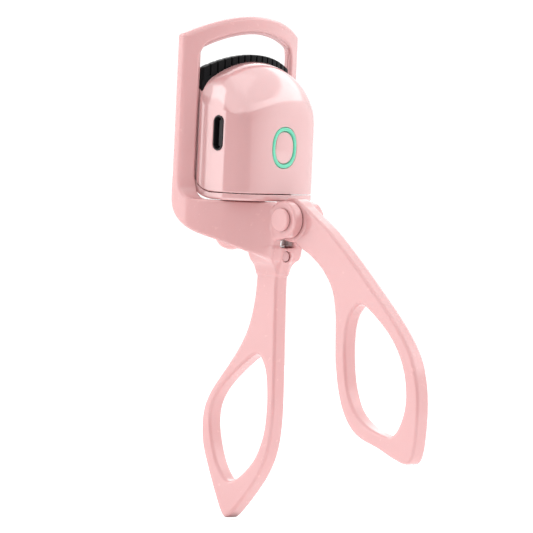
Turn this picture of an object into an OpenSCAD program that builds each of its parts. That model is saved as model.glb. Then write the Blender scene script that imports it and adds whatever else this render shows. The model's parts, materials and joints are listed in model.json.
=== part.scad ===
// Heated eyelash curler: a clamp frame with a fixed handle, a lever handle that
// turns on a pivot pin, and a battery-powered heating head that the lever lifts.
//
// Working axes inside the modules: X across the jaws, f forward (away from the
// face, so f = -Y), Z up. Heights are measured from the pivot pin, and f from
// the plane between the two legs. row() moves the finished piece to the row
// frame, whose origin is at the bottom centre of the whole object.

/* [Jaw frame] */
// Half of the outer width across the two legs
leg_out = 20.7; // [20:0.1:22]
// Half of the inner width between the legs
leg_in = 16.3; // [16.2:0.05:16.5]
// Height of the top bar's crest above the pivot
bar_crest = 51.3; // [51:0.1:53]
// Height of the bar's underside at its middle
bar_under = 47.1; // [47:0.1:47.3]
// Radius of the bar's upper edge, seen from the front
bar_crest_r = 44; // [40:1:60]
// Radius that the jaw edges and the comb share, seen from the front
jaw_r = 34; // [33:0.5:36]
// Radius of the bow of the jaws, seen from above
bow_r = 43.8; // [42:0.2:46]
// Thickness of the frame strip, front to back
strip_t = 2.8; // [2.4:0.1:3]
// Distance from the leg plane back to the centre of the bow
bow_back = 40.9; // [40.7:0.1:41]

/* [Pivot] */
// Distance of the pivot pin in front of the leg plane
pivot_f = 22; // [21.5:0.1:22.5]
// Radius of the pin's shaft
pin_r = 1.6; // [1.4:0.1:1.8]
// Radius of the frame's ears around the pin
ear_r = 4.8; // [4.6:0.1:5]
// Outer half width across both ears
ear_out = 5.3; // [5.2:0.1:5.6]
// Inner half width of the gap between the ears
ear_in = 2.35; // [2.3:0.05:2.4]

/* [Handles] */
// Thickness of both handles
handle_t = 4.3; // [4:0.1:4.4]
// Height of the rear end of the lever's slot, below the pivot
drive_drop = 3.2; // [3:0.1:3.4]
// Radius of the drive pin
drive_r = 1.25; // [1.1:0.05:1.3]

/* [Head] */
// Half width of the head
head_w = 15.9; // [15.8:0.05:16]
// Bottom of the head above the pivot
head_z0 = 4.4; // [4.4:0.1:4.6]
// Top of the head's dome above the pivot
head_z1 = 39.7; // [39:0.1:40]
// Front of the head, in front of the leg plane
head_front = 16.6; // [16.2:0.1:16.8]
// Back of the head, in front of the leg plane
head_back = -3.2; // [-3.4:0.1:-3]
// Wall of the head's casing
wall = 1.5; // [1.2:0.1:1.6]
// Height of the comb's crest above the pivot
comb_crest = 41.45; // [41:0.05:41.6]
// Number of teeth on the comb
comb_teeth = 15; // [11:1:21]

/* [Controls] */
// Height of the button's centre above the pivot
button_z = 18.2; // [16:0.1:20]
// Width of the light ring round the button
ring_w = 8.4; // [8:0.1:9]
// Height of the light ring round the button
ring_h = 10.5; // [10:0.1:11]
// Height of the charging port's centre above the pivot
port_z = 21.4; // [20:0.1:22]
// Distance of the charging port in front of the leg plane
port_f = 7.2; // [7.1:0.05:7.3]

/* [Hidden] */

$fn = 96;
pink = [0.95, 0.76, 0.76];
dark_pink = [0.90, 0.66, 0.67];
black = [0.06, 0.06, 0.07];
steel = [0.75, 0.76, 0.78];
far = 200;            // longer than any part, for cutting
slip = 0.3;           // gap between parts that slide past each other
snug = 0.02;          // gap round a part fixed in its seat

// ---- Outlines of the handles, in (f, z), smoothed by a spline ----
fixed_outline = [[10.2, -7.9], [10.4, -14], [9.9, -21.1], [8, -28.4], [4.4, -34.6], [-0.6, -40.6],
    [-4.6, -45.6], [-6.7, -50.2], [-7.1, -55], [-6.4, -59.6], [-4.3, -65], [-1.6, -71], [0.9, -75.8],
    [2.7, -77.5], [5.2, -76.2], [10.5, -70.8], [14.6, -65.6], [17.2, -60.2], [18.4, -53.8],
    [18.6, -46], [18.3, -36], [17.9, -23.5], [17.8, -15], [18.8, -7.9]];
fixed_loop = [[12.6, -35.3], [14.8, -38.6], [15.8, -44], [15.9, -50], [15.1, -55.9], [12.8, -61.2],
    [9.4, -65], [5.6, -67.6], [2.6, -67.8], [-0.6, -64.2], [-2.8, -59], [-4, -53.2], [-3.3, -48.4],
    [-0.3, -43.9], [4.6, -39.6], [10, -35.7]];
lever_outline = [[22, 5.2], [26.2, 3.8], [30, 1.5], [35.4, -1.9], [40.9, -6.2], [46.8, -11.2],
    [52.9, -16.7], [58.9, -22.2], [64.3, -28], [67.9, -33.4], [70, -39.6], [70.7, -46.6], [70.3, -54],
    [69.2, -58.6], [66.8, -60.1], [62, -58.8], [56.4, -56.5], [50.4, -54.5], [46.4, -51.8],
    [43.2, -47.2], [41.1, -41.2], [40, -34.8], [39.6, -28.4], [39.2, -23], [37.6, -17], [34, -12.3],
    [29.6, -9], [26, -7.2], [22.4, -5.5], [18, -5.4], [13, -6], [8, -6.8], [4, -7.9], [0.4, -8.8],
    [-3.3, -8.2], [-5.8, -5.8], [-6.2, -2.6], [-4.4, 0.4], [-0.8, 1.9], [4, 2.3], [10, 2.4], [16, 2.6],
    [19, 4]];
lever_loop = [[48.8, -20.2], [53.6, -23], [59.3, -27.8], [63.3, -33.2], [65.4, -39], [65.8, -45],
    [64.2, -50.2], [61.6, -53.1], [58.2, -53], [52.4, -51], [47.8, -47.4], [45.2, -42.2], [43.9, -36.2],
    [43.5, -30.2], [44.1, -24.9], [46, -21.6]];

// ---- Plan of one side of the fork, in (x, f) ----
fork_outer = [[-19.7, -3.45], [-20.45, -3.2], [-20.7, -2.4], [-20.7, -0.6], [-20.3, 2.4], [-18.4, 6],
    [-15, 9], [-11, 11.4], [-8, 13.8], [-6.2, 16.2], [-5.35, 18.2], [-5.3, 19.4], [-5.3, 22]];
fork_inner = [[-2.35, 18.5], [-2.45, 16.4], [-3.4, 13.6], [-5.6, 11.2], [-9, 8.8], [-12.6, 6.2],
    [-15.2, 3.2], [-16.3, 0], [-16.4, -1.9]];
// ---- Lower edge of the fork seen from the side, in (f, z) ----
fork_lower = [[-3.9, 5.5], [-3.3, 2], [-0.8, -1.2], [3.2, -3.7], [8, -5.8], [13, -8.8], [18.6, -10.4]];

// ---- Spline helpers ----
function catmull(a, b, c, d, t) =
    0.5 * (2 * b + (c - a) * t + (2 * a - 5 * b + 4 * c - d) * t * t
    + (3 * b - a - 3 * c + d) * t * t * t);
function at(p, i) = p[(i + len(p)) % len(p)];
function held(p, i) = p[min(max(i, 0), len(p) - 1)];
function closed_curve(p, steps = 5) =
    [for (i = [0:len(p) - 1], s = [0:steps - 1])
        catmull(at(p, i - 1), at(p, i), at(p, i + 1), at(p, i + 2), s / steps)];
function open_curve(p, steps = 5) = concat(
    [for (i = [0:len(p) - 2], s = [0:steps - 1])
        catmull(held(p, i - 1), p[i], p[i + 1], held(p, i + 2), s / steps)],
    [p[len(p) - 1]]);
function column(p, k) = [for (q = p) q[k]];

fixed_curve = closed_curve(fixed_outline);
lever_curve = closed_curve(lever_outline);

// ---- Row frame: bottom centre of the box round the open curler ----
row_z = -min(column(fixed_curve, 1));
row_y = (max(column(lever_curve, 0)) + min(column(fixed_curve, 0))) / 2;
module row() translate([0, row_y, row_z]) children();

// ---- Extrusions from the three views ----
// (f, z) outline, centred on x = 0
module side(width) rotate([90, 0, -90]) linear_extrude(width, center = true) children();
// (x, z) outline, from f0 forward to f1
module front(f0, f1) translate([0, -f0, 0]) rotate([90, 0, 0]) linear_extrude(f1 - f0) children();
// (x, f) outline, from z0 up to z1
module plan(z0, z1) translate([0, 0, z0]) mirror([0, 1, 0]) linear_extrude(z1 - z0) children();
// a rod along X, Y or Z from a low to a high value
module rod_x(x0, x1, f, z, r) translate([x0, -f, z]) rotate([0, 90, 0]) cylinder(h = x1 - x0, r = r);
module rod_f(f0, f1, x, z, r) translate([x, -f0, z]) rotate([90, 0, 0]) cylinder(h = f1 - f0, r = r);
module rod_z(z0, z1, x, f, r) translate([x, -f, z0]) cylinder(h = z1 - z0, r = r);
// a block between two corners in (x, f, z)
module block(a, b)
    translate([a[0], -b[1], a[2]]) cube([b[0] - a[0], b[1] - a[1], b[2] - a[2]]);
// a band of the bow, between two radii, seen from above
module bow(r0, r1) translate([0, bow_back, -far / 2]) difference() {
    cylinder(h = far, r = r1, $fn = 256);
    translate([0, 0, -1]) cylinder(h = far + 2, r = r0, $fn = 256);
}
module both_sides() {
    children();
    mirror([1, 0, 0]) children();
}

// ---- Frame ----
module ring_outline() difference() {
    intersection() {
        translate([0, bar_crest - bar_crest_r]) circle(bar_crest_r, $fn = 256);
        translate([-leg_out, 3]) square([2 * leg_out, far]);
    }
    intersection() {
        translate([0, bar_under - jaw_r]) circle(jaw_r, $fn = 256);
        translate([-leg_in, -far / 2]) square([2 * leg_in, far]);
    }
}
// the pad and its groove, an arched strip under the bar
pad_proud = 0.4;
pad_deep = 0.6;
pad_half = 15.4;
pad_t = 1.6;
module pad_strip(gap) intersection() {
    front(-6, 8) difference() {
        translate([0, bar_under + pad_deep + gap - jaw_r]) circle(jaw_r, $fn = 256);
        translate([0, bar_under - pad_proud - jaw_r]) circle(jaw_r, $fn = 256);
    }
    block([-pad_half - gap, -6, 30], [pad_half + gap, 8, 60]);
    bow(bow_r - pad_t / 2 - gap, bow_r + pad_t / 2 + gap);
}
// a low rail down the inside of each leg, which guides the head
rail_proud = 0.5;
rail_f0 = -0.95;
rail_f1 = 0.45;
rail_z0 = 9;
rail_z1 = 42;
fork_top = 4.1;
fillet_r = 4;
module fork_side_view() {
    polygon(concat(open_curve(fork_lower),
        [[19, -8], [19.4, -5.5], [pivot_f, -ear_r], [pivot_f, 0], [17.4, fork_top]],
        [[6.5, fork_top], [6.5, 10.2], [-1.5, 10.2], [-3.9, 8]]));
    translate([pivot_f, 0]) circle(ear_r);
}
// what is cut away in front of a leg, down to a fillet where it meets the fork's top
leg_face = bow_r + strip_t / 2;
module fillet_room() translate([0, bow_back, 0]) rotate_extrude($fn = 256) polygon(concat(
    [for (a = [0:15:90]) [leg_face + fillet_r * (1 - sin(a)), fork_top + fillet_r * (1 - cos(a))]],
    [[leg_face - 0.4, fork_top + fillet_r + 0.6], [leg_face - 0.4, 12], [leg_face + 9, 12], [leg_face + 9, fork_top]]));
module fork_plan() polygon(concat(open_curve(fork_outer), [[-ear_out, 27], [-ear_in, 27]],
    open_curve(fork_inner)));
module fork() difference() {
    intersection() {
        side(60) fork_side_view();
        plan(-20, 20) both_sides() fork_plan();
    }
    fillet_room();
}
// the solid foot of the ears, which narrows into the fixed handle
foot_top = -7.3;
foot_low = -13.2;
module foot() intersection() {
    side(2 * ear_out) polygon([[9.9, foot_top], [19.15, foot_top], [18.95, -9.2], [18.4, -11.5],
        [18.1, foot_low], [10.1, foot_low]]);
    front(-far / 2, far / 2) both_sides() polygon(concat([[0, foot_low], [0, foot_top], [ear_out, foot_top]],
        open_curve([[ear_out, -9], [5, -10], [3.9, -11.2], [2.8, -12.3], [handle_t / 2, foot_low]], 3)));
}
plug_z = -9.6;
plug_r = 1.3;
module frame() color(pink) row() difference() {
    union() {
        intersection() {
            front(-8, 8) ring_outline();
            bow(bow_r - strip_t / 2, bow_r + strip_t / 2);
        }
        both_sides() block([leg_in - rail_proud, rail_f0, rail_z0], [leg_in + 0.5, rail_f1, rail_z1]);
        fork();
        foot();
        side(handle_t) difference() {
            polygon(fixed_curve);
            polygon(closed_curve(fixed_loop));
        }
    }
    pad_strip(snug);
    rod_x(-far / 2, far / 2, pivot_f, 0, pin_r + snug);
    rod_f(15.9, 30, 0, plug_z, plug_r + snug);
    // room for the lever between the ears
    block([-ear_in, 9, foot_top], [ear_in, 30, 8]);
    // room for the head between the legs
    block([-leg_in, -20, fork_top], [leg_in, 17, rail_z0]);
}
module lash_pad() color(dark_pink) row() pad_strip(0);

// ---- Pivot ----
head_of_pin_r = 3;
head_of_pin_t = 1.2;
module pin_head(flare) {
    cylinder(h = head_of_pin_t - flare, r = head_of_pin_r);
    translate([0, 0, head_of_pin_t - flare])
        cylinder(h = flare, r1 = head_of_pin_r, r2 = head_of_pin_r - flare);
}
module pivot_pin() color(pink) row() {
    rod_x(-ear_out, ear_out + 0.8, pivot_f, 0, pin_r);
    translate([-ear_out, -pivot_f, 0]) rotate([0, -90, 0]) pin_head(0.3);
}
module pivot_cap() color(pink) row() difference() {
    translate([ear_out, -pivot_f, 0]) rotate([0, 90, 0]) pin_head(0.3);
    rod_x(0, ear_out + 0.8 + snug, pivot_f, 0, pin_r + snug);
}
module root_plug() color(dark_pink) row() rod_f(15.9, 18.75, 0, plug_z, plug_r);

// ---- Lever ----
hub_r = 5.6;
hub_half = 2.25;                // the hub is slightly thicker than the handle
run = 0.06;                     // radial clearance of the lever on the pin
slot_run = 0.13;                // clearance of the drive pin in the lever's slot
slot_half = 1;
drive_angle = atan(drive_drop / pivot_f);
module lever_handle() color(pink) row() difference() {
    union() {
        side(handle_t) difference() {
            polygon(lever_curve);
            polygon(closed_curve(lever_loop));
        }
        rod_x(-hub_half, hub_half, pivot_f, 0, hub_r);
    }
    rod_x(-far / 2, far / 2, pivot_f, 0, pin_r + run);
    // the slot points at the pivot, so that the drive pin can rise straight up
    translate([0, 0, -drive_drop]) for (k = [-1, 1])
        rod_x(-5, 5, k * slot_half * cos(drive_angle), k * slot_half * sin(drive_angle), drive_r + slot_run);
    side(10) translate([0, -drive_drop]) rotate(drive_angle)
        square([2 * slot_half, 2 * (drive_r + slot_run)], center = true);
}

// ---- Head casing ----
dome_z = 12;                    // level of the dome's middle
dome_c = head_z1 - dome_z;
dome_w = 19;                    // half width that the upright wall would have with no flat sides
dome_f = 4;                     // the dome's ridge
dome_d = head_front - dome_f;
dome_n = 2.6;                   // squareness of the upright wall seen from above
dome_rx = 24.06;                // half width of the ellipsoid over the wall
dome_rf = 15.96;                // and its half depth
seam_gap = 0.2;
cap_t = 1.7;
corner_r = 9.2;                 // round corner at the bottom of the back
corner_f = 6;
groove_in = 15.45;              // half width between the grooves for the rails
groove_f0 = rail_f0 - slip;
groove_f1 = rail_f1 + slip;
cover_f = -1.4;                 // where the rear cover meets the shell
flange_half = 14.3;             // half width of the rear cover's flange behind the comb
function dome_k(z, c) = z <= dome_z ? 1 : sqrt(max(0, 1 - pow((z - dome_z) / c, 2)));
function signed_pow(v, e) = (v < 0 ? -1 : 1) * pow(abs(v), e);
// one level of the casing, in (x, f), open squarely to the back: the wall, or the ellipsoid where that is smaller
function head_level(k, inset, back, steps = 28) =
    let (half = [for (i = [0:steps]) let (a = 180 * i / steps,
            x = (dome_w - inset) * signed_pow(cos(a), 2 / dome_n),
            f = (dome_d - inset) * pow(abs(sin(a)), 2 / dome_n),
            t = min(1, k / norm([x / (dome_rx - inset), f / (dome_rf - inset)])))
        [x * t, dome_f + f * t]])
    concat([[half[0][0], back]], half, [[half[steps][0], back]]);
// the dome as a stack of levels
module dome(inset, z0, back) {
    c = dome_c - inset;
    top = 0.9985;
    levels = [for (i = [0:22]) i == 0 ? z0 : dome_z + 2 + (c * top - 2) * pow(sin(90 * i / 22), 0.85)];
    rings = [for (z = levels) [for (p = head_level(dome_k(z, c), inset, back))
        [p[0], -p[1], z]]];
    n = len(rings[0]);
    m = len(rings);
    polyhedron(points = [for (r = rings, p = r) p],
        faces = concat([[for (i = [n - 1:-1:0]) i]], [[for (i = [0:n - 1]) (m - 1) * n + i]],
            [for (j = [0:m - 2], i = [0:n - 1])
                [j * n + i, j * n + (i + 1) % n, (j + 1) * n + (i + 1) % n, (j + 1) * n + i]]));
}
// the arch of the casing's top, in (x, z)
function arch_z(x, c) = dome_z + c * sqrt(max(0, 1 - pow(x / dome_rx, 2)));
module arch(half, inset = 0) polygon(concat([[-half, 0]],
    [for (i = [-16:16]) let (x = half * i / 16) [x, arch_z(x, dome_c - inset)]], [[half, 0]]));
// everything above the casing's bottom line, raised by d, in (f, z)
module above_bottom(d) polygon(concat([[-20, 80], [-20, corner_f + corner_r]],
    [for (a = [90:-7.5:0])
        [corner_f - (corner_r - d) * sin(a), head_z0 + corner_r - (corner_r - d) * cos(a)]],
    [[40, head_z0 + d], [40, 80]]));
module head_plan() polygon(head_level(1, 0, head_back));

module head_shell() color(pink) row() difference() {
    intersection() {
        dome(0, 0, cover_f);
        block([-head_w, -20, 0], [head_w, 40, 80]);
        side(80) above_bottom(cap_t + seam_gap);
    }
    intersection() {
        dome(wall, 0, -20);
        block([-head_w + wall, -20, 0], [head_w - wall, 40, 80]);
    }
    // grooves for the rails
    both_sides() block([groove_in, -10, 0], [head_w + 1, groove_f1, 60]);
    // the back of the top belongs to the rear cover and the comb
    intersection() {
        bow(0, comb_r1 + 0.15);
        block([-20, -20, 26], [20, 10, 60]);
        front(-20, 20) difference() {
            square([60, 130], center = true);
            translate([0, comb_crest - comb_h - 0.4 - jaw_r]) circle(jaw_r, $fn = 256);
        }
    }
    // holes for the light ring and the charging port
    front(10, 20) translate([0, button_z]) oval(ring_w / 2 + 0.05, ring_h / 2 + 0.05);
    port_hole(0);
}
module rear_cover() color(pink) row() intersection() {
    union() {
        front(head_back, cover_f) arch(head_w);
        intersection() {
            front(cover_f, 4) difference() {
                arch(flange_half);
                translate([0, -2.6]) arch(flange_half + 1);
            }
            bow(0, comb_r0 - 0.15);
            block([-20, -20, 28], [20, 10, 60]);
        }
    }
    side(80) above_bottom(0);
    difference() {
        block([-20, -20, 0], [20, 20, 60]);
        for (p = cover_screw_at) {
            rod_f(head_back - 1, cover_f + 1, p[0], p[1], screw_r + 0.1);
            rod_f(head_back - 1, head_back + 0.9, p[0], p[1], screw_head_r + 0.1);
        }
    }
}

// ---- Base cap, with the two lugs that the lever lifts ----
lug_in = 2.45;
lug_out = 4.5;
lug_r = 3.1;
module base_cap() color(pink) row() difference() {
    union() {
        intersection() {
            plan(-10, 30) intersection() {
                head_plan();
                union() {
                    translate([-head_w, groove_f1]) square([2 * head_w, 40]);
                    translate([-groove_in, cover_f]) square([2 * groove_in, 20]);
                }
            }
            side(80) difference() {
                above_bottom(0);
                above_bottom(cap_t);
                translate([-30, -10]) square([30 + cover_f, 90]);
                translate([-30, head_z0 + corner_r]) square([60, 90]);
            }
        }
        both_sides() intersection() {
            block([lug_in, -20, -20], [lug_out, 20, head_z0 + 0.4]);
            side(40) hull() {
                translate([0, -drive_drop]) circle(lug_r);
                translate([3, head_z0 + 0.2]) square([6.4, 0.4], center = true);
            }
        }
    }
    rod_x(-far / 2, far / 2, 0, -drive_drop, drive_r + snug);
    for (x = base_screw_x) {
        rod_z(0, 20, x, base_screw_f, screw_r + 0.1);
        rod_z(0, head_z0 + 0.9, x, base_screw_f, screw_head_r + 0.1);
    }
}
module drive_pin() color(steel) row() rod_x(-lug_out, lug_out, 0, -drive_drop, drive_r);

// ---- Screws ----
screw_r = 0.8;
screw_head_r = 1.5;
cover_screw_at = [for (x = [-11.6, 11.6], z = [16.5, 28.5]) [x, z]];
base_screw_x = [-9, 9];
base_screw_f = 8.2;
// a screw that points up Z from the origin, with a cross in its head
module screw(length) difference() {
    union() {
        cylinder(h = 0.8, r = screw_head_r);
        cylinder(h = length, r = screw_r);
    }
    for (a = [0, 90]) rotate(a) translate([-0.9, -0.16, -0.01]) cube([1.8, 0.32, 0.45]);
}
module cover_screws() color(steel) row() for (p = cover_screw_at)
    translate([p[0], -head_back - 0.08, p[1]]) rotate([90, 0, 0]) screw(6);
module base_screws() color(steel) row() for (x = base_screw_x)
    translate([x, -base_screw_f, head_z0 + 0.08]) screw(5);

// ---- Heater ----
comb_r0 = bow_r - 1;
comb_r1 = bow_r + 1;
comb_h = 6;
comb_half = 15.4;
comb_slot = 0.4;
comb_slot_deep = 2.6;
// an arched strip that follows the jaw, between two depths below the comb's crest
module jaw_strip(deep0, deep1, r0, r1, half) intersection() {
    front(-8, 10) difference() {
        translate([0, comb_crest - deep0 - jaw_r]) circle(jaw_r, $fn = 256);
        translate([0, comb_crest - deep1 - jaw_r]) circle(jaw_r, $fn = 256);
    }
    block([-half, -8, 20], [half, 10, 60]);
    bow(r0, r1);
}
module heating_comb() color(black) row() difference() {
    jaw_strip(0, comb_h, comb_r0, comb_r1, comb_half);
    // the gaps between the teeth are cut in from the front and the back
    pitch = 2 * comb_half / comb_teeth;
    for (i = [1:comb_teeth - 1]) let (x = -comb_half + pitch * i, a = asin(x / bow_r))
        translate([0, bow_back, 0]) rotate(a) for (r = [comb_r0 - 0.5, comb_r1 - 0.55])
            translate([-comb_slot / 2, -r - 1.05, arc_top(x) - comb_slot_deep])
                cube([comb_slot, 1.05, comb_slot_deep - 0.35]);
}
function arc_top(x) = comb_crest - jaw_r + sqrt(jaw_r * jaw_r - x * x);
module heating_strip() color([0.85, 0.55, 0.2]) row()
    jaw_strip(comb_h + 0.02, comb_h + 0.62, comb_r0 + 0.2, comb_r1 - 0.2, 12.5);
module heater_holder() color([0.25, 0.25, 0.27]) row()
    jaw_strip(comb_h + 0.64, comb_h + 3, comb_r0 - 0.6, comb_r1 + 2.2, 12.5);
module temperature_sensor() color([0.15, 0.1, 0.1]) row()
    translate([0, -4.2, comb_crest - comb_h - 3.8]) sphere(r = 0.75, $fn = 32);

// ---- Charging port ----
port_w = 8.94;
port_t = 3.26;
port_depth = 7.3;
port_recess = 0.7;
module stadium(w, t) {
    square([t, w - t], center = true);
    for (k = [-1, 1]) translate([0, k * (w - t) / 2]) circle(t / 2);
}
// a solid along X with the port's outline
module port_rod(x0, x1, w, t) translate([(x0 + x1) / 2, -port_f, port_z])
    rotate([90, 0, -90]) linear_extrude(x1 - x0, center = true) stadium(w, t);
module port_hole(grow) port_rod(-head_w - 1, -head_w + wall + 1, 9.2 + grow, 3.55 + grow);
port_x0 = -head_w + port_recess;
module usb_shell() color(black) row() difference() {
    port_rod(port_x0, port_x0 + port_depth, port_w, port_t);
    port_rod(port_x0 - 1, port_x0 + port_depth - 0.8, port_w - 0.6, port_t - 0.6);
}
module usb_tongue() color(black) row() {
    port_rod(port_x0 + port_depth - 1.6, port_x0 + port_depth - 0.82, port_w - 0.64, port_t - 0.64);
    block([port_x0 + 0.9, port_f - 0.35, port_z - 3.3], [port_x0 + port_depth - 1.6, port_f + 0.35, port_z + 3.3]);
}

// ---- Electronics ----
board_f0 = 9.86;
board_f1 = 10.86;
board_half = 12.4;
board_z = [8.2, 29];
board_screw_at = [[-10.6, 10.4], [10.6, 10.4], [10.6, 27]];
module circuit_board() color([0.1, 0.35, 0.2]) row() difference() {
    block([-board_half, board_f0, board_z[0]], [board_half, board_f1, board_z[1]]);
    for (p = board_screw_at) rod_f(0, 20, p[0], p[1], screw_r + 0.1);
}
module board_screws() color(steel) row() for (p = board_screw_at)
    translate([p[0], -board_f1 - 0.8, p[1]]) rotate([-90, 0, 0]) screw(4);
module control_chip() color(black) row() block([5, board_f0 - 1, 14], [9, board_f0, 18]);
module indicator_leds() color([0.95, 0.95, 0.85]) row() for (k = [-1, 1])
    block([-0.8, board_f1, button_z + k * 4.6 - 0.4], [0.8, board_f1 + 0.6, button_z + k * 4.6 + 0.4]);
switch_f1 = 13;
module switch_body() color(black) row() difference() {
    block([-2.6, board_f1, button_z - 2.6], [2.6, switch_f1, button_z + 2.6]);
    rod_f(switch_f1 - 1.6, switch_f1 + 1, 0, button_z, 1.3);
}
module switch_plunger() color([0.9, 0.9, 0.9]) row() rod_f(switch_f1 - 0.9, 14.2, 0, button_z, 1.2);

// an oval with slightly flattened sides
module oval(a, b) polygon([for (i = [0:47]) let (t = 7.5 * i)
    [a * signed_pow(cos(t), 0.87), b * signed_pow(sin(t), 0.87)]]);
button_gap = 0.1;
ring_rim = 0.85;
module light_ring() color([0.35, 0.85, 0.65]) row() front(13.6, head_front + 0.12) difference() {
    translate([0, button_z]) oval(ring_w / 2, ring_h / 2);
    translate([0, button_z]) oval(ring_w / 2 - ring_rim, ring_h / 2 - ring_rim - 0.15);
}
module power_button() color(pink) row() front(14.2, head_front + 0.08) translate([0, button_z])
    oval(ring_w / 2 - ring_rim - button_gap, ring_h / 2 - ring_rim - 0.15 - button_gap);

// ---- Chassis that carries the battery and the board ----
tray_half = 13.4;
tray_z = [9.6, 30.4];
tray_f0 = -1.2;
tray_f1 = 6.3;
module inner_chassis() color([0.9, 0.9, 0.88]) row() difference() {
    union() {
        block([-tray_half, 5.3, tray_z[0]], [tray_half, tray_f1, tray_z[1]]);
        for (z = [tray_z[0], tray_z[1] - 1]) block([-9.6, 0, z], [9.6, tray_f1, z + 1]);
        both_sides() block([9.6, 0, tray_z[0]], [10.4, tray_f1, tray_z[1]]);
        for (p = cover_screw_at) rod_f(tray_f0, tray_f1, p[0], p[1], 1.75);
        for (p = board_screw_at) rod_f(tray_f1 - 0.5, board_f0, p[0], p[1], 1.6);
        for (x = base_screw_x) {
            rod_z(head_z0 + cap_t + 0.1, tray_z[0] + 0.5, x, base_screw_f, 1.55);
            block([x - 1.5, 5.3, head_z0 + cap_t + 0.1], [x + 1.5, base_screw_f, tray_z[0] + 0.5]);
        }
    }
    for (p = cover_screw_at) rod_f(tray_f0 - 1, 4.8, p[0], p[1], screw_r + snug);
    for (p = board_screw_at) rod_f(tray_f1 - 0.4, board_f0 + 1, p[0], p[1], screw_r + snug);
    for (x = base_screw_x) rod_z(0, 20, x, base_screw_f, screw_r + snug);
    // seat of the charging port
    port_rod(port_x0 - 1, port_x0 + port_depth + 0.1, port_w + 0.1, port_t + 0.1);
    // notch for the battery's leads
    block([2.2, 2.6, 29.2], [5.8, 4.2, 31]);
}
module battery() color([0.75, 0.77, 0.8]) row() block([-9.2, 0.2, 11], [9.2, 5.1, 29]);

// ---- Leads: round wires through a few corners, in (x, f, z) ----
function xyz(p) = [p[0], -p[1], p[2]];
module wire(points, r) {
    for (i = [0:len(points) - 2]) let (a = xyz(points[i]), b = xyz(points[i + 1]), v = b - a)
        translate(a) rotate([0, acos(v[2] / norm(v)), atan2(v[1], v[0])]) cylinder(h = norm(v), r = r, $fn = 24);
    for (i = [1:1:len(points) - 2]) translate(xyz(points[i])) sphere(r = r, $fn = 24);
}
module battery_leads() color([0.8, 0.1, 0.1]) row() for (k = [0, 1])
    wire([[3 + 2 * k, 3.4, 29], [3 + 2 * k, 3.4, 31.1], [3 + 2 * k, 8.4, 31.1], [3 + 2 * k, 8.4, 27],
        [3 + 2 * k, 9.86, 27]], 0.4);
module heater_leads() color([0.85, 0.85, 0.85]) row() for (k = [0, 1])
    wire([[-6 + 2 * k, 5, 31.4], [-6 + 2 * k, 7.6, 31.4], [-6 + 2 * k, 7.6, 28], [-6 + 2 * k, 9.86, 28]], 0.35);

frame();
lash_pad();
pivot_pin();
pivot_cap();
root_plug();
lever_handle();
head_shell();
rear_cover();
base_cap();
drive_pin();
cover_screws();
base_screws();
heating_comb();
heating_strip();
heater_holder();
temperature_sensor();
heater_leads();
inner_chassis();
battery();
battery_leads();
circuit_board();
board_screws();
control_chip();
indicator_leds();
switch_body();
usb_shell();
usb_tongue();
light_ring();
power_button();
switch_plunger();
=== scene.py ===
"""A pink heated eyelash curler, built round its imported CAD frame.

Shapes are signed distance functions in millimetres. x runs across the jaws, f forward (away
from the face, so f = -Y) and z up, with z = 0 at the pivot and f = 0 between the two legs.
"""

import json
import math

import bpy
import numpy as np
from mathutils import Matrix, Vector


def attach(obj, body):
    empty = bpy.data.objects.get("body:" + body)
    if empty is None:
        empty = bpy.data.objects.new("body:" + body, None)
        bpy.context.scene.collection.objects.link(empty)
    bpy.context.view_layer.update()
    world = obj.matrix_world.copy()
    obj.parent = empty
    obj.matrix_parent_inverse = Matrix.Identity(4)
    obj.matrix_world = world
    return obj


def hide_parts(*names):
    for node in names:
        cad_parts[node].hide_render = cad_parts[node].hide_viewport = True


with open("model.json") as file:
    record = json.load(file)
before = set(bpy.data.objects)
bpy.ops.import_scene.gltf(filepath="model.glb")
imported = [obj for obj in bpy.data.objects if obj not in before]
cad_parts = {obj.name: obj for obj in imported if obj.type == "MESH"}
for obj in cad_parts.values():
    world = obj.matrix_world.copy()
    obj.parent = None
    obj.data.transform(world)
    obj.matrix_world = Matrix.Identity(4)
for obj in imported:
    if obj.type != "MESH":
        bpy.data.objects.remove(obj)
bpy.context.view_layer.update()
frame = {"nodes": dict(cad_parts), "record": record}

MM = 0.001
ROW_Y, ROW_Z = 31.792, 77.5        # the row frame's origin, seen from the pivot's frame

# ---------------------------------------------------------------- dimensions shared with the CAD
LEG_OUT, LEG_IN = 20.7, 16.3       # half widths over and between the legs
BAR_CREST, BAR_UNDER = 51.3, 47.1
BAR_R, JAW_R = 44.0, 34.0          # arches of the bar's top, and of the jaw and comb
BOW_R, BOW_BACK = 43.8, 40.9       # the jaw's bow seen from above, and how far back its centre is
STRIP_HALF = 1.4                   # half the thickness of the bowed strip
PIVOT_F = 22.0
EAR_R, EAR_OUT, EAR_IN = 4.8, 5.3, 2.35
PIN_R, HUB_R, DRIVE_DROP, DRIVE_R = 1.6, 5.6, 3.2, 1.25
HANDLE_HALF = 2.15
HEAD_W, HEAD_Z0, HEAD_Z1, HEAD_BACK, HEAD_FRONT = 15.9, 4.4, 39.7, -3.2, 16.6
HEAD_CORNER_R = 9.2                # the casing's lower back corner, seen from the side
SEAM_Z, SEAM_GAP, COVER_F = 6.1, 0.2, -1.4
DOME_Z, DOME_F, DOME_N = 12, 4, 2.6             # where the dome starts, and its wall's superellipse
DOME_HALF_W, DOME_RX, DOME_RF = 19, 24.06, 15.96
SCREW_R, SCREW_DEEP = 1.62, 0.95                # counterbores of the casing's screws
COMB_CREST, COMB_HALF, COMB_TEETH = 41.45, 15.4, 15
BUTTON_Z, RING_A, RING_B, RING_RIM = 18.2, 4.2, 5.25, 0.85
PORT_F, PORT_Z = 7.2, 21.4
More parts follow.
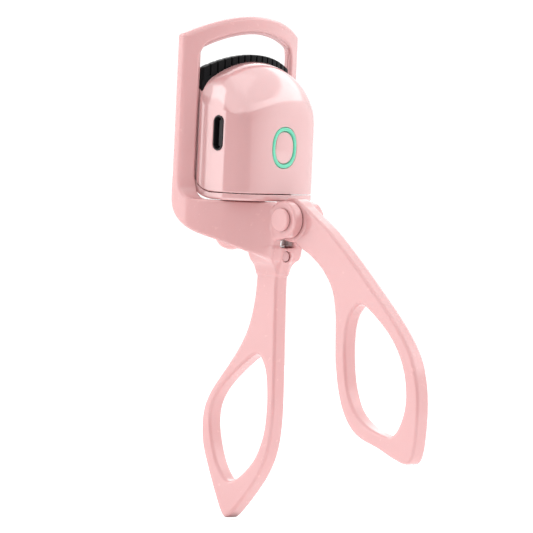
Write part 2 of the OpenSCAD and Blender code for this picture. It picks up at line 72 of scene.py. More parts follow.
PORT_MOUTH, PORT_RECESS = (9.2, 3.55), 0.7      # length and width of the recess in the side
PORT_POCKET, PORT_DEPTH = (9.02, 3.34), 8.8     # the pocket that holds the socket's shell
PAD_HALF_T, PAD_UP, PAD_DOWN = 0.8, 0.6, 0.4    # the pad, counted from the bar's underside
PLUG_Z, PLUG_R = -9.6, 1.3
PIN_HEAD_R = 3.0

FIXED_OUTLINE = [(10.2, -7.9), (10.4, -14), (9.9, -21.1), (8, -28.4), (4.4, -34.6), (-0.6, -40.6),
    (-4.6, -45.6), (-6.7, -50.2), (-7.1, -55), (-6.4, -59.6), (-4.3, -65), (-1.6, -71), (0.9, -75.8),
    (2.7, -77.5), (5.2, -76.2), (10.5, -70.8), (14.6, -65.6), (17.2, -60.2), (18.4, -53.8),
    (18.6, -46), (18.3, -36), (17.9, -23.5), (17.8, -15), (18.8, -7.9)]
FIXED_LOOP = [(12.6, -35.3), (14.8, -38.6), (15.8, -44), (15.9, -50), (15.1, -55.9), (12.8, -61.2),
    (9.4, -65), (5.6, -67.6), (2.6, -67.8), (-0.6, -64.2), (-2.8, -59), (-4, -53.2), (-3.3, -48.4),
    (-0.3, -43.9), (4.6, -39.6), (10, -35.7)]
LEVER_OUTLINE = [(22, 5.2), (26.2, 3.8), (30, 1.5), (35.4, -1.9), (40.9, -6.2), (46.8, -11.2),
    (52.9, -16.7), (58.9, -22.2), (64.3, -28), (67.9, -33.4), (70, -39.6), (70.7, -46.6), (70.3, -54),
    (69.2, -58.6), (66.8, -60.1), (62, -58.8), (56.4, -56.5), (50.4, -54.5), (46.4, -51.8),
    (43.2, -47.2), (41.1, -41.2), (40, -34.8), (39.6, -28.4), (39.2, -23), (37.6, -17), (34, -12.3),
    (29.6, -9), (26, -7.2), (22.4, -5.5), (18, -5.4), (13, -6), (8, -6.8), (4, -7.9), (0.4, -8.8),
    (-3.3, -8.2), (-5.8, -5.8), (-6.2, -2.6), (-4.4, 0.4), (-0.8, 1.9), (4, 2.3), (10, 2.4), (16, 2.6),
    (19, 4)]
LEVER_LOOP = [(48.8, -20.2), (53.6, -23), (59.3, -27.8), (63.3, -33.2), (65.4, -39), (65.8, -45),
    (64.2, -50.2), (61.6, -53.1), (58.2, -53), (52.4, -51), (47.8, -47.4), (45.2, -42.2),
    (43.9, -36.2), (43.5, -30.2), (44.1, -24.9), (46, -21.6)]
FORK_OUTER = [(-19.7, -3.45), (-20.45, -3.2), (-20.7, -2.4), (-20.7, -0.6), (-20.3, 2.4),
    (-18.4, 6), (-15, 9), (-11, 11.4), (-8, 13.8), (-6.2, 16.2), (-5.35, 18.2), (-5.3, 19.4), (-5.3, 22)]
FORK_INNER = [(-2.35, 18.5), (-2.45, 16.4), (-3.4, 13.6), (-5.6, 11.2), (-9, 8.8), (-12.6, 6.2),
    (-15.2, 3.2), (-16.3, 0), (-16.4, -1.9)]
FORK_LOWER = [(-3.9, 5.5), (-3.3, 2), (-0.8, -1.2), (3.2, -3.7), (8, -5.8), (13, -8.8), (18.6, -10.4)]
FORK_TOP, FILLET_R, FILLET_F = 4.28, 4.0, 1.26


# ---------------------------------------------------------------- curves
def catmull(a, b, c, d, t):
    return 0.5 * (2 * b + (c - a) * t + (2 * a - 5 * b + 4 * c - d) * t * t
                  + (3 * b - a - 3 * c + d) * t ** 3)


def closed_curve(points, steps=6):
    p = np.array(points, float)
    n = len(p)
    return np.array([catmull(p[i - 1], p[i], p[(i + 1) % n], p[(i + 2) % n], s / steps)
                     for i in range(n) for s in range(steps)])


def open_curve(points, steps=6):
    p = np.array(points, float)
    n = len(p)
    out = [catmull(p[max(i - 1, 0)], p[i], p[i + 1], p[min(i + 2, n - 1)], s / steps)
           for i in range(n - 1) for s in range(steps)]
    return np.array(out + [p[-1]])


# ---------------------------------------------------------------- signed distances
def poly_sdf(u, v, points):
    """Signed distance from (u, v) to a closed outline, negative inside."""
    best = np.full(np.broadcast(u, v).shape, 1e9)
    sign = np.ones(best.shape)
    a = points
    b = np.roll(points, -1, axis=0)
    for (ax, ay), (bx, by) in zip(a, b):
        ex, ey = bx - ax, by - ay
        wx, wy = u - ax, v - ay
        t = np.clip((wx * ex + wy * ey) / max(ex * ex + ey * ey, 1e-12), 0, 1)
        dx, dy = wx - ex * t, wy - ey * t
        best = np.minimum(best, dx * dx + dy * dy)
        above, below = v >= ay, v < by
        left = ex * wy > ey * wx
        flip = (above & below & left) | (~above & ~below & ~left)
        sign = np.where(flip, -sign, sign)
    return sign * np.sqrt(best)


def both(r, *ds):
    """Intersection whose edges are rounded with radius r."""
    out = ds[0]
    for d in ds[1:]:
        hi = np.sqrt(np.maximum(out + r, 0) ** 2 + np.maximum(d + r, 0) ** 2) - r
        out = np.where(np.minimum(out, d) > -r, hi, np.maximum(out, d))
    return out


def any_of(k, *ds):
    """Union whose inner corners are filled with a fillet of about k."""
    out = ds[0]
    for d in ds[1:]:
        h = np.maximum(k - np.abs(out - d), 0) / max(k, 1e-9)
        out = np.minimum(out, d) - h * h * k * 0.25
    return out


def cut(r, a, b):
    """a without b, with the cut's edges rounded with radius r."""
    return both(r, a, -b)


def slab(v, lo, hi):
    return np.abs(v - (lo + hi) / 2) - (hi - lo) / 2


def disc(u, v, cu, cv, r):
    return np.hypot(u - cu, v - cv) - r


def stadium(u, v, cu, cv, w, t):
    """Rounded slot, w long along v and t wide along u."""
    dv = np.maximum(np.abs(v - cv) - (w - t) / 2, 0)
    return np.hypot(u - cu, dv) - t / 2


def oval(u, v, cu, cv, a, b, n=2.3):
    """Slightly squared oval, with about the right distance near its edge."""
    p, q = np.abs(u - cu) / a, np.abs(v - cv) / b
    g = (p ** n + q ** n) ** (1 / n)
    return (g - 1) * np.where(g > 1e-6, np.hypot(u - cu, v - cv) / np.maximum(g, 1e-6), min(a, b))


# ---------------------------------------------------------------- meshing a distance function
def mesh_sdf(name, fn, lo, hi, h, steps=2):
    """Surface nets over a grid, then pulled onto the exact surface, with the exact normals."""
    lo, hi = np.array(lo, float), np.array(hi, float)
    n = np.ceil((hi - lo) / h).astype(int) + 1
    ax = [lo[i] + h * np.arange(n[i]) for i in range(3)]
    s = np.broadcast_to(fn(ax[0][:, None, None], ax[1][None, :, None], ax[2][None, None, :]), n)
    s = np.ascontiguousarray(s, dtype=np.float32)
    cells = n - 1
    count = int(np.prod(cells))
    total = np.zeros(count)
    sums = [np.zeros(count) for _ in range(3)]
    edges = []
    for k in range(3):
        first = [slice(None)] * 3
        second = [slice(None)] * 3
        first[k], second[k] = slice(0, -1), slice(1, None)
        a, b = s[tuple(first)], s[tuple(second)]
        idx = np.argwhere((a < 0) != (b < 0))
        va = a[tuple(idx.T)].astype(float)
        vb = b[tuple(idx.T)].astype(float)
        pos = lo + idx * h
        pos[:, k] += h * va / (va - vb)
        o1, o2 = [j for j in range(3) if j != k]
        around = []
        good = np.ones(len(idx), bool)
        for d1, d2 in ((-1, -1), (0, -1), (0, 0), (-1, 0)):
            c = idx.copy()
            c[:, o1] += d1
            c[:, o2] += d2
            ok = np.all((c >= 0) & (c < cells), axis=1)
            flat = (c[:, 0] * cells[1] + c[:, 1]) * cells[2] + c[:, 2]
            total += np.bincount(flat[ok], minlength=count)
            for j in range(3):
                sums[j] += np.bincount(flat[ok], weights=pos[ok, j], minlength=count)
            good &= ok
            around.append(flat)
        quad = np.stack(around, 1)[good]
        outward = (va < 0)[good]
        if k == 1:
            outward = ~outward
        quad[~outward] = quad[~outward][:, ::-1]
        edges.append(quad)
    used = np.flatnonzero(total)
    verts = np.stack([c[used] / total[used] for c in sums], 1)
    index = np.full(count, -1)
    index[used] = np.arange(len(used))
    quads = index[np.concatenate(edges)]

    def gradient(p, e=0.02):
        g = np.stack([fn(*(p + np.eye(3)[j] * e).T) - fn(*(p - np.eye(3)[j] * e).T) for j in range(3)], 1)
        g /= 2 * e
        size = np.linalg.norm(g, axis=1, keepdims=True)
        return g / np.maximum(size, 1e-6), size[:, 0]

    for _ in range(steps):
        g, size = gradient(verts)
        move = fn(*verts.T) / np.maximum(size, 0.3)
        verts = verts - g * np.clip(move, -0.5 * h, 0.5 * h)[:, None]
    normals, _ = gradient(verts)
    return build(name, verts, quads, normals)


def to_row(p):
    p = np.asarray(p, float)
    return np.stack([p[..., 0], ROW_Y - p[..., 1], ROW_Z + p[..., 2]], -1) * MM


def build(name, verts, faces, normals=None):
    """A mesh object from points in (x, f, z), with its faces turned outwards for the mirrored f."""
    mesh = bpy.data.meshes.new(name)
    mesh.from_pydata(to_row(verts).tolist(), [], [list(f)[::-1] for f in faces])
    mesh.validate()
    mesh.polygons.foreach_set("use_smooth", [True] * len(mesh.polygons))
    if normals is not None:
        turned = np.stack([normals[:, 0], -normals[:, 1], normals[:, 2]], -1)
        mesh.normals_split_custom_set_from_vertices(turned.tolist())
    mesh.update()
    obj = bpy.data.objects.new(name, mesh)
    bpy.context.scene.collection.objects.link(obj)
    return obj


# ---------------------------------------------------------------- the frame
FIXED_CURVE, FIXED_HOLE = closed_curve(FIXED_OUTLINE), closed_curve(FIXED_LOOP)
LEVER_CURVE, LEVER_HOLE = closed_curve(LEVER_OUTLINE), closed_curve(LEVER_LOOP)
FORK_PLAN = np.concatenate([open_curve(FORK_OUTER), [(-EAR_OUT, 27), (-EAR_IN, 27)], open_curve(FORK_INNER)])
ARC = [(FILLET_F + FILLET_R * (1 - math.sin(a)), FORK_TOP + FILLET_R * (1 - math.cos(a)))
       for a in np.radians(np.arange(0, 91, 10))]
FORK_SIDE = np.concatenate([open_curve(FORK_LOWER), [(19, -8), (19.4, -5.5), (PIVOT_F, -EAR_R),
    (PIVOT_F, 0), (17.4, FORK_TOP)], ARC, [(0.7, 10.2), (-1.5, 10.2), (-3.9, 8)]])
FOOT_SIDE = np.array([(9.9, -7.3), (19.1, -7.3), (18.8, -9.4), (18.1, -11.8), (17.9, -14.5),
    (10.3, -14.5), (10.1, -11)])
FOOT_FRONT = np.concatenate([[(0, -14.5), (0, -7.3), (5.3, -7.3)],
    open_curve([(5.3, -8.6), (5.15, -9.6), (4.3, -11), (3.1, -12.3), (2.2, -14.5)])])


def frame_sdf(x, f, z):
    ax = np.abs(x)
    bow = np.hypot(ax, f + BOW_BACK)
    strip = np.abs(bow - BOW_R) - STRIP_HALF
    outer = both(0.5, disc(ax, z, 0, BAR_CREST - BAR_R, BAR_R), ax - LEG_OUT)
    window = both(2.2, disc(ax, z, 0, BAR_UNDER - JAW_R, JAW_R), ax - LEG_IN)
    ring = both(1.15, both(0.3, np.maximum(outer, -window), 3.0 - z), strip)
    # above the fork the side outline follows the bowed strip, so that it meets the leg flush
    front = np.sqrt((BOW_R + STRIP_HALF) ** 2 - np.minimum(ax, LEG_OUT) ** 2) - BOW_BACK
    lead = FILLET_F - front
    side = poly_sdf(np.where(z > FORK_TOP, f + lead, f + 0 * lead), z, FORK_SIDE)
    fork = both(0.75, poly_sdf(-ax, f, FORK_PLAN), side)
    fork = np.maximum(fork, -both(0.6, ax - LEG_IN, slab(f, -20, 17), slab(z, FORK_TOP, 60)))
    ears = both(0.45, disc(f, z, PIVOT_F, 0, EAR_R), slab(ax, EAR_IN, EAR_OUT))
    rail = both(0.2, slab(ax, LEG_IN - 0.5, LEG_IN + 0.8), slab(f, -0.95, 0.45), slab(z, 9, 42))
    foot = both(0.5, poly_sdf(f, z, FOOT_SIDE), poly_sdf(ax, z, FOOT_FRONT))
    plate = both(0.8, ax - HANDLE_HALF, cut(0.1, poly_sdf(f, z, FIXED_CURVE), poly_sdf(f, z, FIXED_HOLE)))
    body = both(0.6, any_of(0.4, ring, fork), ax - LEG_OUT)
    body = any_of(0.5, body, ears)
    body = any_of(0.2, body, rail)
    body = any_of(1.2, body, any_of(0.8, foot, plate))
    room = both(0.3, ax - EAR_IN, slab(f, 9, 40), slab(z, -7.3, 20))
    body = np.maximum(body, -room)
    body = cut(0.12, body, both(0.05, disc(x, z, 0, PLUG_Z, PLUG_R + 0.12), 17.4 - f))
    return cut(0.2, body, disc(f, z, PIVOT_F, 0, PIN_R + 0.02))


def lever_sdf(x, f, z):
    ax = np.abs(x)
    outline = cut(0.1, poly_sdf(f, z, LEVER_CURVE), poly_sdf(f, z, LEVER_HOLE))
    plate = both(0.8, ax - HANDLE_HALF, outline)
    body = any_of(0.4, plate, both(0.5, ax - 2.25, disc(f, z, PIVOT_F, 0, HUB_R)))
    angle = math.atan(DRIVE_DROP / PIVOT_F)
    u = f * math.cos(angle) + (z + DRIVE_DROP) * math.sin(angle)
    v = -f * math.sin(angle) + (z + DRIVE_DROP) * math.cos(angle)
    slot = np.hypot(np.maximum(np.abs(u) - 1, 0), v) - DRIVE_R - 0.13
    body = cut(0.3, body, slot)
    return cut(0.2, body, disc(f, z, PIVOT_F, 0, PIN_R + 0.06))


# ---------------------------------------------------------------- the head's casing
def dome(x, f, z):
    """Upright front wall under a rounder dome, which meet in a soft arched crease."""
    q = np.maximum(f - DOME_F, 0)
    rise = np.maximum(z - DOME_Z, 0) / (HEAD_Z1 - DOME_Z)
    wall = ((np.abs(x) / DOME_HALF_W) ** DOME_N + (q / (HEAD_FRONT - DOME_F)) ** DOME_N) ** (1 / DOME_N)
    top = np.sqrt((x / DOME_RX) ** 2 + (q / DOME_RF) ** 2 + rise ** 2)
    # the factors turn the ratios into about the right distances in millimetres
    return both(1.2, (wall - 1) * 13 + 0 * z, (top - 1) * 19)


def casing(x, f, z):
    ax = np.abs(x)
    t = np.clip((f + 2) / 8, 0, 1)
    side_r = 0.9 + 4.3 * t * t * (3 - 2 * t)       # the side's edges get rounder towards the front
    body = both(side_r, dome(x, f, z), ax - HEAD_W)
    corner = both(HEAD_CORNER_R, HEAD_Z0 - z, HEAD_BACK - f)
    return both(0.5, body, corner)


def grooves(x, f, z):
    """Room down both sides for the frame's guide rails."""
    return both(0.1, 15.45 - np.abs(x), slab(f, COVER_F - 0.6, 0.75))


def shell_sdf(x, f, z):
    body = both(0.12, casing(x, f, z), SEAM_Z + SEAM_GAP - corner_level(f, z), COVER_F - f)
    body = np.maximum(body, -grooves(x, f, z))
    port = both(0.1, stadium(f, z, PORT_F, PORT_Z, *PORT_MOUTH), x + HEAD_W - PORT_RECESS)
    pocket = both(0.1, stadium(f, z, PORT_F, PORT_Z, *PORT_POCKET), x + HEAD_W - PORT_DEPTH)
    body = np.maximum(cut(0.25, body, port), -pocket)
    ring = both(0.1, oval(x, z, 0, BUTTON_Z, RING_A + 0.08, RING_B + 0.08), 13.5 - f)
    return cut(0.25, body, ring)


def corner_level(f, z):
    """Height above the casing's lower outline, counted from the pivot, so that seams follow it."""
    return HEAD_Z0 - both(HEAD_CORNER_R, HEAD_Z0 - z, HEAD_BACK - f)


def cover_sdf(x, f, z):
    body = both(0.2, casing(x, f, z), f - COVER_F + 0.12)
    for cx in (-11.6, 11.6):
        for cz in (16.5, 28.5):
            body = cut(0.15, body, both(0.05, disc(x, z, cx, cz, SCREW_R), f - HEAD_BACK - SCREW_DEEP))
    return body


def cap_sdf(x, f, z):
    body = both(0.12, casing(x, f, z), corner_level(f, z) - SEAM_Z, COVER_F - f)
    body = np.maximum(body, -grooves(x, f, z))
    lug_side = any_of(2.0, disc(f, z, 0, -DRIVE_DROP, 3.1), both(0.4, slab(f, -1.6, 6), slab(z, -2, 5.4)))
    lugs = both(0.35, lug_side, slab(np.abs(x), 2.45, 4.5))
    body = any_of(0.6, body, lugs)
    for cx in (-9, 9):
        body = cut(0.15, body, both(0.05, disc(x, f, cx, 8.2, SCREW_R), z - HEAD_Z0 - SCREW_DEEP))
    return body


frame_body = mesh_sdf("frame_moulding", frame_sdf, (-22, -8.3, -78.7), (22, 28.3, 52.6), 0.36)
lever_body = mesh_sdf("lever_moulding", lever_sdf, (-3.3, -7.6, -61.4), (3.3, 72, 7), 0.33)
head_body = mesh_sdf("head_casing", shell_sdf, (-16.8, -2.4, 5.2), (16.8, 17.6, 40.6), 0.22)
cover_body = mesh_sdf("head_rear_cover", cover_sdf, (-16.8, -4, 3.4), (16.8, -0.8, 40.6), 0.22)
cap_body = mesh_sdf("head_base", cap_sdf, (-16.8, -4, -7.2), (16.8, 17.6, 14.6), 0.22)


# ---------------------------------------------------------------- small parts
PITCH = 2 * COMB_HALF / COMB_TEETH


def comb_sdf(x, f, z):
    bow = np.hypot(x, f + BOW_BACK)
    arc = disc(x, z, 0, COMB_CREST - JAW_R, JAW_R)
    strip = both(0.35, np.abs(bow - BOW_R) - 1, arc)
    strip = both(0.3, strip, np.abs(x) - COMB_HALF, -arc - 6)
    along = np.arctan2(x, f + BOW_BACK) * BOW_R
    near = along - np.round((along - PITCH / 2) / PITCH) * PITCH - PITCH / 2
    groove = both(0.05, np.abs(near) - 0.2, 0.5 - np.abs(bow - BOW_R), -arc - 2.7)
    return cut(0.14, strip, groove)


comb = mesh_sdf("heating_comb_bar", comb_sdf, (-16.2, -3.6, 29.4), (16.2, 5, 42.4), 0.13, steps=1)


def ring_sdf(x, f, z):
    o = oval(x, z, 0, BUTTON_Z, RING_A, RING_B)
    i = oval(x, z, 0, BUTTON_Z, RING_A - RING_RIM, RING_B - RING_RIM - 0.15)
    return both(0.4, np.maximum(o, -i), slab(f, 13.7, HEAD_FRONT + 0.12))


def button_sdf(x, f, z):
    o = oval(x, z, 0, BUTTON_Z, RING_A - RING_RIM - 0.1, RING_B - RING_RIM - 0.25)
    crown = f - (HEAD_FRONT + 0.08) + 0.035 * (x ** 2 + (z - BUTTON_Z) ** 2) * 0.55
    return both(0.35, o, both(0.1, crown, 14.3 - f))


light_ring = mesh_sdf("button_light_ring", ring_sdf, (-4.8, 13, 12.4), (4.8, 17.4, 24), 0.12)
button = mesh_sdf("button_cap", button_sdf, (-3.8, 13.8, 13.6), (3.8, 17.4, 22.8), 0.12)


def pin_head_sdf(side):
    def sdf(x, f, z):
        head = both(0.35, disc(f, z, PIVOT_F, 0, PIN_HEAD_R), slab(side * x, EAR_OUT + 0.05, EAR_OUT + 1.15))
        shaft = both(0.1, disc(f, z, PIVOT_F, 0, PIN_R), slab(side * x, -0.5, EAR_OUT + 0.6))
        return any_of(0.1, head, shaft)
    return sdf


pin_left = mesh_sdf("pivot_pin_head", pin_head_sdf(-1), (-6.9, 18.6, -3.4), (1, 25.4, 3.4), 0.14)
pin_right = mesh_sdf("pivot_cap_head", pin_head_sdf(1), (-1, 18.6, -3.4), (6.9, 25.4, 3.4), 0.14)


def plug_sdf(x, f, z):
    return both(0.25, disc(x, z, 0, PLUG_Z, PLUG_R), slab(f, 16.2, 18.72))


plug = mesh_sdf("root_plug_disc", plug_sdf, (-1.7, 15.8, -11.3), (1.7, 19.2, -7.9), 0.09)


def pad_sdf(x, f, z):
    bow = np.hypot(x, f + BOW_BACK)
    arc_hi = disc(x, z, 0, BAR_UNDER + PAD_UP - JAW_R, JAW_R)
    arc_lo = disc(x, z, 0, BAR_UNDER - PAD_DOWN - JAW_R, JAW_R)
    strip = both(0.2, np.abs(bow - BOW_R) - PAD_HALF_T, arc_hi, -arc_lo)
    return both(0.25, strip, np.abs(x) - COMB_HALF)


pad = mesh_sdf("lash_pad_strip", pad_sdf, (-16, -3.4, 40), (16, 4.6, 48.4), 0.14)


# ---------------------------------------------------------------- materials
def shader(name):
    mat = bpy.data.materials.new(name)
    mat.use_nodes = True
    tree = mat.node_tree
    tree.nodes.clear()
    out = tree.nodes.new("ShaderNodeOutputMaterial")
    bsdf = tree.nodes.new("ShaderNodeBsdfPrincipled")
    tree.links.new(bsdf.outputs[0], out.inputs["Surface"])
    return mat, tree, bsdf


def noise(tree, scale, detail=4.0, rough=0.5):
    coord = tree.nodes.new("ShaderNodeTexCoord")
    n = tree.nodes.new("ShaderNodeTexNoise")
    n.inputs["Scale"].default_value = scale
    n.inputs["Detail"].default_value = detail
    n.inputs["Roughness"].default_value = rough
    tree.links.new(coord.outputs["Object"], n.inputs["Vector"])
    return n


def remap(tree, source, lo, hi, from_lo=0.3, from_hi=0.7):
    m = tree.nodes.new("ShaderNodeMapRange")
    m.inputs["From Min"].default_value = from_lo
    m.inputs["From Max"].default_value = from_hi
    m.inputs["To Min"].default_value = lo
    m.inputs["To Max"].default_value = hi
    tree.links.new(source, m.inputs["Value"])
    return m.outputs["Result"]


def material(name, dark, light, rough, spread=0.03, grain=0.0, coat=0.0, coat_rough=0.05,
             coat_ior=1.5, metal=0.0, skin=0.0, glow=0.0, blotch=60.0, shine=0.5, painted_crevice_shade=None):
    """Moulded plastic, metal or rubber: slow colour drift, fine roughness drift and a fine grain, plus
    painted shade that darkens crevices when a shade colour is given.
    """
    mat, tree, bsdf = shader(name)
    drift = noise(tree, blotch, 3.0)
    mix = tree.nodes.new("ShaderNodeMix")
    mix.data_type = "RGBA"
    mix.inputs[6].default_value = (*dark, 1)
    mix.inputs[7].default_value = (*light, 1)
    tree.links.new(remap(tree, drift.outputs["Fac"], 0.0, 1.0), mix.inputs[0])
    colour = mix.outputs[2]
    if painted_crevice_shade:
        # painted shade: an ambient occlusion node darkens the colour in gaps narrower than a few millimetres
        near = tree.nodes.new("ShaderNodeAmbientOcclusion")
        near.samples = 8
        near.inputs["Distance"].default_value = 0.0035
        painted_shade_mix = tree.nodes.new("ShaderNodeMix")
        painted_shade_mix.data_type = "RGBA"
        painted_shade_mix.inputs[6].default_value = (*painted_crevice_shade, 1)
        tree.links.new(colour, painted_shade_mix.inputs[7])
        tree.links.new(remap(tree, near.outputs["AO"], 0.0, 1.0, 0.08, 0.46), painted_shade_mix.inputs[0])
        colour = painted_shade_mix.outputs[2]
    tree.links.new(colour, bsdf.inputs["Base Color"])
    fine = noise(tree, blotch * 9, 5.0, 0.6)
    tree.links.new(remap(tree, fine.outputs["Fac"], rough - spread, rough + spread), bsdf.inputs["Roughness"])
    if grain:
        bumps = noise(tree, 4000.0, 2.0)
        bump = tree.nodes.new("ShaderNodeBump")
        bump.inputs["Strength"].default_value = grain
        bump.inputs["Distance"].default_value = 0.00005
        tree.links.new(bumps.outputs["Fac"], bump.inputs["Height"])
        tree.links.new(bump.outputs["Normal"], bsdf.inputs["Normal"])
    bsdf.inputs["Metallic"].default_value = metal
    bsdf.inputs["IOR"].default_value = 1.5
    bsdf.inputs["Specular IOR Level"].default_value = shine
    bsdf.inputs["Coat Weight"].default_value = coat
    bsdf.inputs["Coat IOR"].default_value = coat_ior
    bsdf.inputs["Coat Roughness"].default_value = coat_rough
    if skin:
        bsdf.inputs["Subsurface Weight"].default_value = skin
        bsdf.inputs["Subsurface Radius"].default_value = (1.0, 0.45, 0.4)
        bsdf.inputs["Subsurface Scale"].default_value = 0.0015
    if glow:
        bsdf.inputs["Emission Color"].default_value = (*light, 1)
        bsdf.inputs["Emission Strength"].default_value = glow
    return mat


# painted shade colours, mixed into the crevices of pink and steel parts by ambient occlusion
PINK_PAINTED_SHADE, STEEL_PAINTED_SHADE = (0.20, 0.045, 0.04), (0.05, 0.015, 0.015)
PINK_DARK, PINK_LIGHT = (0.70, 0.375, 0.375), (0.72, 0.395, 0.395)
# the satin pinks carry painted shade in their crevices
SATIN = dict(grain=0.04, coat=0.7, coat_rough=0.12, skin=0.12, painted_crevice_shade=PINK_PAINTED_SHADE)
GLOSS = dict(grain=0.02, coat=1.0, coat_rough=0.03, coat_ior=2.1, skin=0.12)
M = {
    "shell_pink": material("gloss_pink", PINK_DARK, PINK_LIGHT, 0.2, 0.02, **GLOSS),
    "frame_pink": material("satin_pink", PINK_DARK, PINK_LIGHT, 0.25, **SATIN),
    "handle_pink": material("handle_pink", PINK_DARK, PINK_LIGHT, 0.25, **SATIN),
    "plug_pink": material("plug_pink", (0.66, 0.40, 0.41), (0.70, 0.44, 0.44), 0.45, grain=0.1),
    "pad_silicone": material("silicone_pink", (0.66, 0.40, 0.41), (0.71, 0.45, 0.45), 0.55,
                             grain=0.15, skin=0.2),
    "comb_black": material("anodised_black", (0.004, 0.004, 0.005), (0.009, 0.009, 0.010), 0.42, 0.05,
                           grain=0.15, shine=0.12),
    "strip_film": material("polyimide_film", (0.42, 0.19, 0.03), (0.50, 0.24, 0.04), 0.3),
    "holder_grey": material("glass_filled_grey", (0.04, 0.04, 0.045), (0.06, 0.06, 0.065), 0.6,
                            grain=0.3),
    "chassis_white": material("moulded_white", (0.70, 0.70, 0.67), (0.76, 0.76, 0.73), 0.5, grain=0.15),
    "battery_foil": material("battery_foil", (0.55, 0.57, 0.60), (0.66, 0.68, 0.70), 0.28, 0.08,
                             metal=1.0, grain=0.2),
    "lead_red": material("lead_red", (0.45, 0.01, 0.01), (0.52, 0.02, 0.02), 0.45),
    "lead_white": material("lead_white", (0.68, 0.68, 0.68), (0.74, 0.74, 0.74), 0.45),
    "board_green": material("solder_mask", (0.006, 0.07, 0.03), (0.01, 0.10, 0.045), 0.35, coat=0.4),
    "black_plastic": material("black_plastic", (0.008, 0.008, 0.009), (0.016, 0.016, 0.018), 0.45,
                              grain=0.2),
    "led": material("led_lens", (0.85, 0.85, 0.68), (0.9, 0.9, 0.76), 0.15, coat=0.8),
    "ring_mint": material("mint_light_guide", (0.10, 0.55, 0.36), (0.16, 0.66, 0.45), 0.25, coat=0.4,
                          glow=0.12, skin=0.2),
    # the steel carries painted shade in its crevices
    "steel": material("brushed_steel", (0.50, 0.51, 0.52), (0.60, 0.61, 0.62), 0.3, 0.08, metal=1.0,
                      grain=0.15, painted_crevice_shade=STEEL_PAINTED_SHADE),
}
SLOTS = {s["node"]: s["material_slot"] for s in frame["record"]["subparts"]}


def dress(obj, slot_name, body, *nodes):
    obj.data.materials.clear()
    obj.data.materials.append(M[slot_name])
    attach(obj, body)
    if nodes:
        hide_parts(*nodes)


for name, node in frame["nodes"].items():
    for i in range(max(1, len(node.data.materials))):
        if node.data.materials:
            node.data.materials[i] = M[SLOTS[name]]
        else:
            node.data.materials.append(M[SLOTS[name]])

dress(frame_body, "frame_pink", "frame", "frame")
dress(lever_body, "handle_pink", "lever", "lever_handle")
dress(head_body, "shell_pink", "head", "head_shell")
dress(cover_body, "shell_pink", "head", "rear_cover")
dress(cap_body, "shell_pink", "head", "base_cap")
dress(comb, "comb_black", "head", "heating_comb")
dress(light_ring, "ring_mint", "head", "light_ring")
dress(button, "shell_pink", "button", "power_button")
dress(pin_left, "handle_pink", "frame", "pivot_pin")
dress(pin_right, "handle_pink", "frame", "pivot_cap")
dress(plug, "plug_pink", "frame", "root_plug")
dress(pad, "pad_silicone", "frame", "lash_pad")

# ---------------------------------------------------------------- floor, light and camera
AZ = math.radians(-45)
side_dir = Vector((math.cos(AZ), math.sin(AZ), 0))
VIEW = Vector((math.sin(AZ), -math.cos(AZ), 0))
CENTRE = Vector((0, 0.0203, 0.0650))      # what the camera looks at, in metres

SEGMENTS, FLOOR_Z = 72, -0.0004
FLOOR_RINGS = [(0.25, 0), (0.6, 0), (0.95, 0), (1.2, -0.004)]      # radius and rise, in metres
floor_mesh = bpy.data.meshes.new("studio_floor")
pts, quads = [(0, 0, FLOOR_Z)], []
for k, (r, rise) in enumerate(FLOOR_RINGS):
    for i in range(SEGMENTS):
        a = 2 * math.pi * i / SEGMENTS
        pts.append((r * math.cos(a), r * math.sin(a), rise + FLOOR_Z))
    for i in range(SEGMENTS):
        j = (i + 1) % SEGMENTS
        if k == 0:
            quads.append((0, 1 + i, 1 + j))
        else:
            lo, hi = 1 + (k - 1) * SEGMENTS, 1 + k * SEGMENTS
            quads.append((lo + i, hi + i, hi + j, lo + j))
floor_mesh.from_pydata(pts, [], quads)
floor_mesh.polygons.foreach_set("use_smooth", [True] * len(floor_mesh.polygons))
floor = bpy.data.objects.new("studio_floor", floor_mesh)
bpy.context.scene.collection.objects.link(floor)
floor_mesh.materials.append(material("paper_white", (0.90, 0.90, 0.90), (0.92, 0.92, 0.92), 0.7,
                                     grain=0.02, blotch=3, glow=0.16))


def area(name, pos, size, power):
    """A square soft light that faces the object."""
    light = bpy.data.lights.new(name, "AREA")
    light.energy = power
    light.shape = "RECTANGLE"
    light.size = light.size_y = size
    obj = bpy.data.objects.new(name, light)
    obj.location = pos
    obj.rotation_euler = (CENTRE - pos).to_track_quat("-Z", "Y").to_euler()
    bpy.context.scene.collection.objects.link(obj)


def around(side, toward, up):
    """A point beside the object: right of the view, towards the camera, and up, in metres."""
    return CENTRE + side_dir * side + VIEW * toward + Vector((0, 0, up))


area("top_soft", around(0.0, 0.1, 0.9), 0.7, 0.5)
area("front_soft", around(-0.3, 1.2, 0.6), 0.5, 0.2)

# a studio tent: a crisp softbox on the left, a graded one on the right and a lit ceiling
world = bpy.data.worlds.new("studio_world")
world.use_nodes = True
sky = world.node_tree
direction_in = sky.nodes.new("ShaderNodeTexCoord").outputs["Generated"]


def along_axis(axis):
    """How far a direction of the sky points along an axis, from -1 to 1."""
    node = sky.nodes.new("ShaderNodeVectorMath")
    node.operation = "DOT_PRODUCT"
    sky.links.new(direction_in, node.inputs[0])
    node.inputs[1].default_value = axis
    return node.outputs["Value"]


def sky_math(op, a, b):
    node = sky.nodes.new("ShaderNodeMath")
    node.operation = op
    for socket, value in zip(node.inputs, (a, b)):
        if isinstance(value, (int, float)):
            socket.default_value = value
        else:
            sky.links.new(value, socket)
    return node.outputs[0]


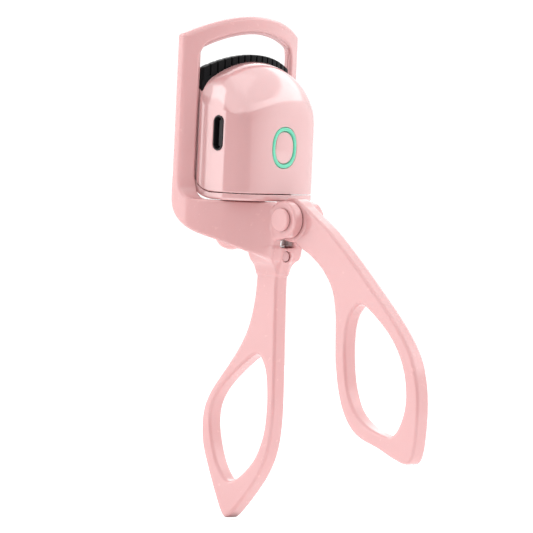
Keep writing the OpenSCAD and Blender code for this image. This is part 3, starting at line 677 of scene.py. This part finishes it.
def step(value, lo, hi, to_lo=0.0, to_hi=1.0):
    node = sky.nodes.new("ShaderNodeMapRange")
    node.interpolation_type = "SMOOTHSTEP"
    for key, number in (("From Min", lo), ("From Max", hi), ("To Min", to_lo), ("To Max", to_hi)):
        node.inputs[key].default_value = number
    sky.links.new(value, node.inputs["Value"])
    return node.outputs["Result"]


height = along_axis((0, 0, 1))
# radians round the object: 0 towards the camera, positive to the right of the view
turn = sky_math("ARCTAN2", along_axis(side_dir), along_axis(VIEW))
low = step(height, 0.62, 0.7, 1.0, 0.0)
left_box = sky_math("MULTIPLY", step(turn, -2.3, -2.2), step(turn, -1.22, -1.18, 1.0, 0.0))
right_box = sky_math("MULTIPLY", step(turn, 0.5, 1.8), step(turn, 2.2, 2.6, 1.0, 0.0))
back_box = step(sky_math("ABSOLUTE", turn, 0), 2.25, 2.6)
FILL = 0.2
total = FILL
for box, strength in ((back_box, 0.9), (left_box, 1.7), (right_box, 1.1)):
    total = sky_math("ADD", total, sky_math("MULTIPLY", sky_math("MULTIPLY", box, low), strength))
total = sky_math("ADD", total, sky_math("MULTIPLY", step(height, 0.36, 0.42), 1.05))     # ceiling
# seen directly, past the floor's edge, the tent is plain white
seen = sky.nodes.new("ShaderNodeLightPath").outputs["Is Camera Ray"]
total = sky_math("MAXIMUM", total, seen)
background = sky.nodes["Background"]
background.inputs[0].default_value = (1, 1, 1, 1)
sky.links.new(total, background.inputs[1])
bpy.context.scene.world = world
bpy.context.scene.view_settings.view_transform = "Standard"

camera_data = bpy.data.cameras.new("camera")
camera = bpy.data.objects.new("camera", camera_data)
bpy.context.scene.collection.objects.link(camera)
DIST, EL, ROLL = 6.0, math.radians(1.9), math.radians(2.6)
SENSOR_MM, VIEW_WIDTH = 36, 0.1367        # the lens shows this many metres across at the object
camera_data.lens = SENSOR_MM * DIST / VIEW_WIDTH
camera_data.clip_end = 30
direction = Vector((math.sin(AZ) * math.cos(EL), -math.cos(AZ) * math.cos(EL), math.sin(EL)))
camera.location = CENTRE + side_dir * 0.00026 + direction * DIST
level = (-direction).to_track_quat("-Z", "Y").to_matrix()
camera.rotation_euler = (level @ Matrix.Rotation(ROLL, 3, "Z")).to_euler()
bpy.context.scene.camera = camera
